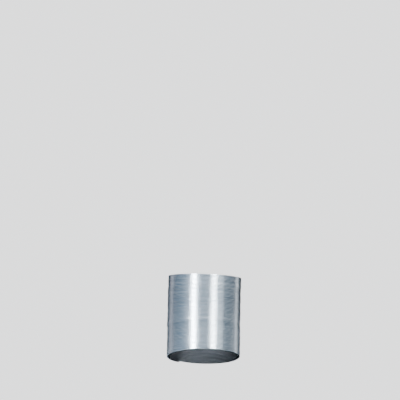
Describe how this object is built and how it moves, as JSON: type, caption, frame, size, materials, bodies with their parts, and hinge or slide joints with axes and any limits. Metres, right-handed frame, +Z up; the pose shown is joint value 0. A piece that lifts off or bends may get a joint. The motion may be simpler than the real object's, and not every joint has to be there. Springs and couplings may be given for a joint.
{
  "type": "spring coil toy",
  "caption": "Closed coil of flat metal strip that stands on its end, stretches along its axis, bends both ways into an S and walks end over end.",
  "frame": {"origin": "centre of the coil's bottom end, on the surface that it stands on", "axes": "+Z up along the coil's axis, +X to the right, -Y to the front; the strip climbs from turn to turn at the back"},
  "size_m": [0.038, 0.038, 0.0389],
  "materials": {
    "coil_steel": "bright drawn steel strip, satin with a blue-grey cast"
  },
  "bodies": {
    "bottom_end_turn": {"bottom_end_turn": "coil_steel"},
    "turn_02": {"turn_02": "coil_steel"},
    "turn_03": {"turn_03": "coil_steel"},
    "turn_04": {"turn_04": "coil_steel"},
    "turn_05": {"turn_05": "coil_steel"},
    "turn_06": {"turn_06": "coil_steel"},
    "turn_07": {"turn_07": "coil_steel"},
    "turn_08": {"turn_08": "coil_steel"},
    "turn_09": {"turn_09": "coil_steel"},
    "turn_10": {"turn_10": "coil_steel"},
    "turn_11": {"turn_11": "coil_steel"},
    "turn_12": {"turn_12": "coil_steel"},
    "turn_13": {"turn_13": "coil_steel"},
    "turn_14": {"turn_14": "coil_steel"},
    "turn_15": {"turn_15": "coil_steel"},
    "turn_16": {"turn_16": "coil_steel"},
    "turn_17": {"turn_17": "coil_steel"},
    "turn_18": {"turn_18": "coil_steel"},
    "turn_19": {"turn_19": "coil_steel"},
    "turn_20": {"turn_20": "coil_steel"},
    "turn_21": {"turn_21": "coil_steel"},
    "turn_22": {"turn_22": "coil_steel"},
    "turn_23": {"turn_23": "coil_steel"},
    "turn_24": {"turn_24": "coil_steel"},
    "turn_25": {"turn_25": "coil_steel"},
    "turn_26": {"turn_26": "coil_steel"},
    "turn_27": {"turn_27": "coil_steel"},
    "turn_28": {"turn_28": "coil_steel"},
    "turn_29": {"turn_29": "coil_steel"},
    "turn_30": {"turn_30": "coil_steel"},
    "turn_31": {"turn_31": "coil_steel"},
    "turn_32": {"turn_32": "coil_steel"},
    "turn_33": {"turn_33": "coil_steel"},
    "turn_34": {"turn_34": "coil_steel"},
    "turn_35": {"turn_35": "coil_steel"},
    "turn_36": {"turn_36": "coil_steel"},
    "turn_37": {"turn_37": "coil_steel"},
    "turn_38": {"turn_38": "coil_steel"},
    "turn_39": {"turn_39": "coil_steel"},
    "turn_40": {"turn_40": "coil_steel"},
    "turn_41": {"turn_41": "coil_steel"},
    "turn_42": {"turn_42": "coil_steel"},
    "turn_43": {"turn_43": "coil_steel"},
    "turn_44": {"turn_44": "coil_steel"},
    "turn_45": {"turn_45": "coil_steel"},
    "turn_46": {"turn_46": "coil_steel"},
    "turn_47": {"turn_47": "coil_steel"},
    "turn_48": {"turn_48": "coil_steel"},
    "turn_49": {"turn_49": "coil_steel"},
    "turn_50": {"turn_50": "coil_steel"},
    "turn_51": {"turn_51": "coil_steel"},
    "turn_52": {"turn_52": "coil_steel"},
    "turn_53": {"turn_53": "coil_steel"},
    "turn_54": {"turn_54": "coil_steel"},
    "turn_55": {"turn_55": "coil_steel"},
    "turn_56": {"turn_56": "coil_steel"},
    "turn_57": {"turn_57": "coil_steel"},
    "top_end_turn": {"top_end_turn": "coil_steel"}
  },
  "joints": [
    {"name": "stretch", "type": "slide", "parent": "bottom_end_turn", "child": "turn_02", "axis": [0, 0, 1], "range_m": [0, 0.0046], "stiffness_N_per_m": 108},
    {"name": "bend_lower", "type": "hinge", "parent": "turn_02", "child": "turn_03", "pos_m": [0.019, 0, 0.0013], "axis": [0, 1, 0], "range_deg": [0, 4], "stiffness_Nm_per_rad": 0.071},
    {"name": "stretch_02", "type": "slide", "parent": "turn_03", "child": "turn_04", "axis": [0, 0, 1], "range_m": [0, 0.0046], "stiffness_N_per_m": 108},
    {"name": "bend_lower_02", "type": "hinge", "parent": "turn_04", "child": "turn_05", "pos_m": [0.019, 0, 0.0026], "axis": [0, 1, 0], "range_deg": [0, 4], "stiffness_Nm_per_rad": 0.071},
    {"name": "stretch_03", "type": "slide", "parent": "turn_05", "child": "turn_06", "axis": [0, 0, 1], "range_m": [0, 0.0046], "stiffness_N_per_m": 108},
    {"name": "bend_lower_03", "type": "hinge", "parent": "turn_06", "child": "turn_07", "pos_m": [0.019, 0, 0.0039], "axis": [0, 1, 0], "range_deg": [0, 4], "stiffness_Nm_per_rad": 0.071},
    {"name": "stretch_04", "type": "slide", "parent": "turn_07", "child": "turn_08", "axis": [0, 0, 1], "range_m": [0, 0.0046], "stiffness_N_per_m": 108},
    {"name": "bend_lower_04", "type": "hinge", "parent": "turn_08", "child": "turn_09", "pos_m": [0.019, 0, 0.0052], "axis": [0, 1, 0], "range_deg": [0, 4], "stiffness_Nm_per_rad": 0.071},
    {"name": "stretch_05", "type": "slide", "parent": "turn_09", "child": "turn_10", "axis": [0, 0, 1], "range_m": [0, 0.0046], "stiffness_N_per_m": 108},
    {"name": "bend_lower_05", "type": "hinge", "parent": "turn_10", "child": "turn_11", "pos_m": [0.019, 0, 0.0065], "axis": [0, 1, 0], "range_deg": [0, 4], "stiffness_Nm_per_rad": 0.071},
    {"name": "stretch_06", "type": "slide", "parent": "turn_11", "child": "turn_12", "axis": [0, 0, 1], "range_m": [0, 0.0046], "stiffness_N_per_m": 108},
    {"name": "bend_lower_06", "type": "hinge", "parent": "turn_12", "child": "turn_13", "pos_m": [0.019, 0, 0.0078], "axis": [0, 1, 0], "range_deg": [0, 4], "stiffness_Nm_per_rad": 0.071},
    {"name": "stretch_07", "type": "slide", "parent": "turn_13", "child": "turn_14", "axis": [0, 0, 1], "range_m": [0, 0.0046], "stiffness_N_per_m": 108},
    {"name": "bend_lower_07", "type": "hinge", "parent": "turn_14", "child": "turn_15", "pos_m": [0.019, 0, 0.0091], "axis": [0, 1, 0], "range_deg": [0, 4], "stiffness_Nm_per_rad": 0.071},
    {"name": "stretch_08", "type": "slide", "parent": "turn_15", "child": "turn_16", "axis": [0, 0, 1], "range_m": [0, 0.0046], "stiffness_N_per_m": 108},
    {"name": "bend_lower_08", "type": "hinge", "parent": "turn_16", "child": "turn_17", "pos_m": [0.019, 0, 0.0104], "axis": [0, 1, 0], "range_deg": [0, 4], "stiffness_Nm_per_rad": 0.071},
    {"name": "stretch_09", "type": "slide", "parent": "turn_17", "child": "turn_18", "axis": [0, 0, 1], "range_m": [0, 0.0046], "stiffness_N_per_m": 108},
    {"name": "bend_lower_09", "type": "hinge", "parent": "turn_18", "child": "turn_19", "pos_m": [0.019, 0, 0.0117], "axis": [0, 1, 0], "range_deg": [0, 4], "stiffness_Nm_per_rad": 0.071},
    {"name": "stretch_10", "type": "slide", "parent": "turn_19", "child": "turn_20", "axis": [0, 0, 1], "range_m": [0, 0.0046], "stiffness_N_per_m": 108},
    {"name": "bend_lower_10", "type": "hinge", "parent": "turn_20", "child": "turn_21", "pos_m": [0.019, 0, 0.013], "axis": [0, 1, 0], "range_deg": [0, 4], "stiffness_Nm_per_rad": 0.071},
    {"name": "stretch_11", "type": "slide", "parent": "turn_21", "child": "turn_22", "axis": [0, 0, 1], "range_m": [0, 0.0046], "stiffness_N_per_m": 108},
    {"name": "bend_lower_11", "type": "hinge", "parent": "turn_22", "child": "turn_23", "pos_m": [0.019, 0, 0.0143], "axis": [0, 1, 0], "range_deg": [0, 4], "stiffness_Nm_per_rad": 0.071},
    {"name": "stretch_12", "type": "slide", "parent": "turn_23", "child": "turn_24", "axis": [0, 0, 1], "range_m": [0, 0.0046], "stiffness_N_per_m": 108},
    {"name": "bend_lower_12", "type": "hinge", "parent": "turn_24", "child": "turn_25", "pos_m": [0.019, 0, 0.0156], "axis": [0, 1, 0], "range_deg": [0, 4], "stiffness_Nm_per_rad": 0.071},
    {"name": "stretch_13", "type": "slide", "parent": "turn_25", "child": "turn_26", "axis": [0, 0, 1], "range_m": [0, 0.0046], "stiffness_N_per_m": 108},
    {"name": "bend_lower_13", "type": "hinge", "parent": "turn_26", "child": "turn_27", "pos_m": [0.019, 0, 0.0169], "axis": [0, 1, 0], "range_deg": [0, 4], "stiffness_Nm_per_rad": 0.071},
    {"name": "stretch_14", "type": "slide", "parent": "turn_27", "child": "turn_28", "axis": [0, 0, 1], "range_m": [0, 0.0046], "stiffness_N_per_m": 108},
    {"name": "bend_lower_14", "type": "hinge", "parent": "turn_28", "child": "turn_29", "pos_m": [0.019, 0, 0.0182], "axis": [0, 1, 0], "range_deg": [0, 4], "stiffness_Nm_per_rad": 0.071},
    {"name": "stretch_15", "type": "slide", "parent": "turn_29", "child": "turn_30", "axis": [0, 0, 1], "range_m": [0, 0.00575], "stiffness_N_per_m": 86.4},
    {"name": "bend_upper", "type": "hinge", "parent": "turn_30", "child": "turn_31", "pos_m": [-0.019, 0, 0.02015], "axis": [0, -1, 0], "range_deg": [0, 4], "stiffness_Nm_per_rad": 0.071},
    {"name": "stretch_16", "type": "slide", "parent": "turn_31", "child": "turn_32", "axis": [0, 0, 1], "range_m": [0, 0.0046], "stiffness_N_per_m": 108},
    {"name": "bend_upper_02", "type": "hinge", "parent": "turn_32", "child": "turn_33", "pos_m": [-0.019, 0, 0.02145], "axis": [0, -1, 0], "range_deg": [0, 4], "stiffness_Nm_per_rad": 0.071},
    {"name": "stretch_17", "type": "slide", "parent": "turn_33", "child": "turn_34", "axis": [0, 0, 1], "range_m": [0, 0.0046], "stiffness_N_per_m": 108},
    {"name": "bend_upper_03", "type": "hinge", "parent": "turn_34", "child": "turn_35", "pos_m": [-0.019, 0, 0.02275], "axis": [0, -1, 0], "range_deg": [0, 4], "stiffness_Nm_per_rad": 0.071},
    {"name": "stretch_18", "type": "slide", "parent": "turn_35", "child": "turn_36", "axis": [0, 0, 1], "range_m": [0, 0.0046], "stiffness_N_per_m": 108},
    {"name": "bend_upper_04", "type": "hinge", "parent": "turn_36", "child": "turn_37", "pos_m": [-0.019, 0, 0.02405], "axis": [0, -1, 0], "range_deg": [0, 4], "stiffness_Nm_per_rad": 0.071},
    {"name": "stretch_19", "type": "slide", "parent": "turn_37", "child": "turn_38", "axis": [0, 0, 1], "range_m": [0, 0.0046], "stiffness_N_per_m": 108},
    {"name": "bend_upper_05", "type": "hinge", "parent": "turn_38", "child": "turn_39", "pos_m": [-0.019, 0, 0.02535], "axis": [0, -1, 0], "range_deg": [0, 4], "stiffness_Nm_per_rad": 0.071},
    {"name": "stretch_20", "type": "slide", "parent": "turn_39", "child": "turn_40", "axis": [0, 0, 1], "range_m": [0, 0.0046], "stiffness_N_per_m": 108},
    {"name": "bend_upper_06", "type": "hinge", "parent": "turn_40", "child": "turn_41", "pos_m": [-0.019, 0, 0.02665], "axis": [0, -1, 0], "range_deg": [0, 4], "stiffness_Nm_per_rad": 0.071},
    {"name": "stretch_21", "type": "slide", "parent": "turn_41", "child": "turn_42", "axis": [0, 0, 1], "range_m": [0, 0.0046], "stiffness_N_per_m": 108},
    {"name": "bend_upper_07", "type": "hinge", "parent": "turn_42", "child": "turn_43", "pos_m": [-0.019, 0, 0.02795], "axis": [0, -1, 0], "range_deg": [0, 4], "stiffness_Nm_per_rad": 0.071},
    {"name": "stretch_22", "type": "slide", "parent": "turn_43", "child": "turn_44", "axis": [0, 0, 1], "range_m": [0, 0.0046], "stiffness_N_per_m": 108},
    {"name": "bend_upper_08", "type": "hinge", "parent": "turn_44", "child": "turn_45", "pos_m": [-0.019, 0, 0.02925], "axis": [0, -1, 0], "range_deg": [0, 4], "stiffness_Nm_per_rad": 0.071},
    {"name": "stretch_23", "type": "slide", "parent": "turn_45", "child": "turn_46", "axis": [0, 0, 1], "range_m": [0, 0.0046], "stiffness_N_per_m": 108},
    {"name": "bend_upper_09", "type": "hinge", "parent": "turn_46", "child": "turn_47", "pos_m": [-0.019, 0, 0.03055], "axis": [0, -1, 0], "range_deg": [0, 4], "stiffness_Nm_per_rad": 0.071},
    {"name": "stretch_24", "type": "slide", "parent": "turn_47", "child": "turn_48", "axis": [0, 0, 1], "range_m": [0, 0.0046], "stiffness_N_per_m": 108},
    {"name": "bend_upper_10", "type": "hinge", "parent": "turn_48", "child": "turn_49", "pos_m": [-0.019, 0, 0.03185], "axis": [0, -1, 0], "range_deg": [0, 4], "stiffness_Nm_per_rad": 0.071},
    {"name": "stretch_25", "type": "slide", "parent": "turn_49", "child": "turn_50", "axis": [0, 0, 1], "range_m": [0, 0.0046], "stiffness_N_per_m": 108},
    {"name": "bend_upper_11", "type": "hinge", "parent": "turn_50", "child": "turn_51", "pos_m": [-0.019, 0, 0.03315], "axis": [0, -1, 0], "range_deg": [0, 4], "stiffness_Nm_per_rad": 0.071},
    {"name": "stretch_26", "type": "slide", "parent": "turn_51", "child": "turn_52", "axis": [0, 0, 1], "range_m": [0, 0.0046], "stiffness_N_per_m": 108},
    {"name": "bend_upper_12", "type": "hinge", "parent": "turn_52", "child": "turn_53", "pos_m": [-0.019, 0, 0.03445], "axis": [0, -1, 0], "range_deg": [0, 4], "stiffness_Nm_per_rad": 0.071},
    {"name": "stretch_27", "type": "slide", "parent": "turn_53", "child": "turn_54", "axis": [0, 0, 1], "range_m": [0, 0.0046], "stiffness_N_per_m": 108},
    {"name": "bend_upper_13", "type": "hinge", "parent": "turn_54", "child": "turn_55", "pos_m": [-0.019, 0, 0.03575], "axis": [0, -1, 0], "range_deg": [0, 4], "stiffness_Nm_per_rad": 0.071},
    {"name": "stretch_28", "type": "slide", "parent": "turn_55", "child": "turn_56", "axis": [0, 0, 1], "range_m": [0, 0.0046], "stiffness_N_per_m": 108},
    {"name": "bend_upper_14", "type": "hinge", "parent": "turn_56", "child": "turn_57", "pos_m": [-0.019, 0, 0.03705], "axis": [0, -1, 0], "range_deg": [0, 4], "stiffness_Nm_per_rad": 0.071},
    {"name": "stretch_29", "type": "slide", "parent": "turn_57", "child": "top_end_turn", "axis": [0, 0, 1], "range_m": [0, 0.0046], "stiffness_N_per_m": 108}
  ],
  "couplings": [
    {"joint": "stretch_02", "follows": "stretch", "ratio": 1},
    {"joint": "bend_lower_02", "follows": "bend_lower", "ratio": 1},
    {"joint": "stretch_03", "follows": "stretch", "ratio": 1},
    {"joint": "bend_lower_03", "follows": "bend_lower", "ratio": 1},
    {"joint": "stretch_04", "follows": "stretch", "ratio": 1},
    {"joint": "bend_lower_04", "follows": "bend_lower", "ratio": 1},
    {"joint": "stretch_05", "follows": "stretch", "ratio": 1},
    {"joint": "bend_lower_05", "follows": "bend_lower", "ratio": 1},
    {"joint": "stretch_06", "follows": "stretch", "ratio": 1},
    {"joint": "bend_lower_06", "follows": "bend_lower", "ratio": 1},
    {"joint": "stretch_07", "follows": "stretch", "ratio": 1},
    {"joint": "bend_lower_07", "follows": "bend_lower", "ratio": 1},
    {"joint": "stretch_08", "follows": "stretch", "ratio": 1},
    {"joint": "bend_lower_08", "follows": "bend_lower", "ratio": 1},
    {"joint": "stretch_09", "follows": "stretch", "ratio": 1},
    {"joint": "bend_lower_09", "follows": "bend_lower", "ratio": 1},
    {"joint": "stretch_10", "follows": "stretch", "ratio": 1},
    {"joint": "bend_lower_10", "follows": "bend_lower", "ratio": 1},
    {"joint": "stretch_11", "follows": "stretch", "ratio": 1},
    {"joint": "bend_lower_11", "follows": "bend_lower", "ratio": 1},
    {"joint": "stretch_12", "follows": "stretch", "ratio": 1},
    {"joint": "bend_lower_12", "follows": "bend_lower", "ratio": 1},
    {"joint": "stretch_13", "follows": "stretch", "ratio": 1},
    {"joint": "bend_lower_13", "follows": "bend_lower", "ratio": 1},
    {"joint": "stretch_14", "follows": "stretch", "ratio": 1},
    {"joint": "bend_lower_14", "follows": "bend_lower", "ratio": 1},
    {"joint": "stretch_15", "follows": "stretch", "ratio": 1.25},
    {"joint": "stretch_16", "follows": "stretch", "ratio": 1},
    {"joint": "bend_upper_02", "follows": "bend_upper", "ratio": 1},
    {"joint": "stretch_17", "follows": "stretch", "ratio": 1},
    {"joint": "bend_upper_03", "follows": "bend_upper", "ratio": 1},
    {"joint": "stretch_18", "follows": "stretch", "ratio": 1},
    {"joint": "bend_upper_04", "follows": "bend_upper", "ratio": 1},
    {"joint": "stretch_19", "follows": "stretch", "ratio": 1},
    {"joint": "bend_upper_05", "follows": "bend_upper", "ratio": 1},
    {"joint": "stretch_20", "follows": "stretch", "ratio": 1},
    {"joint": "bend_upper_06", "follows": "bend_upper", "ratio": 1},
    {"joint": "stretch_21", "follows": "stretch", "ratio": 1},
    {"joint": "bend_upper_07", "follows": "bend_upper", "ratio": 1},
    {"joint": "stretch_22", "follows": "stretch", "ratio": 1},
    {"joint": "bend_upper_08", "follows": "bend_upper", "ratio": 1},
    {"joint": "stretch_23", "follows": "stretch", "ratio": 1},
    {"joint": "bend_upper_09", "follows": "bend_upper", "ratio": 1},
    {"joint": "stretch_24", "follows": "stretch", "ratio": 1},
    {"joint": "bend_upper_10", "follows": "bend_upper", "ratio": 1},
    {"joint": "stretch_25", "follows": "stretch", "ratio": 1},
    {"joint": "bend_upper_11", "follows": "bend_upper", "ratio": 1},
    {"joint": "stretch_26", "follows": "stretch", "ratio": 1},
    {"joint": "bend_upper_12", "follows": "bend_upper", "ratio": 1},
    {"joint": "stretch_27", "follows": "stretch", "ratio": 1},
    {"joint": "bend_upper_13", "follows": "bend_upper", "ratio": 1},
    {"joint": "stretch_28", "follows": "stretch", "ratio": 1},
    {"joint": "bend_upper_14", "follows": "bend_upper", "ratio": 1},
    {"joint": "stretch_29", "follows": "stretch", "ratio": 1}
  ]
}
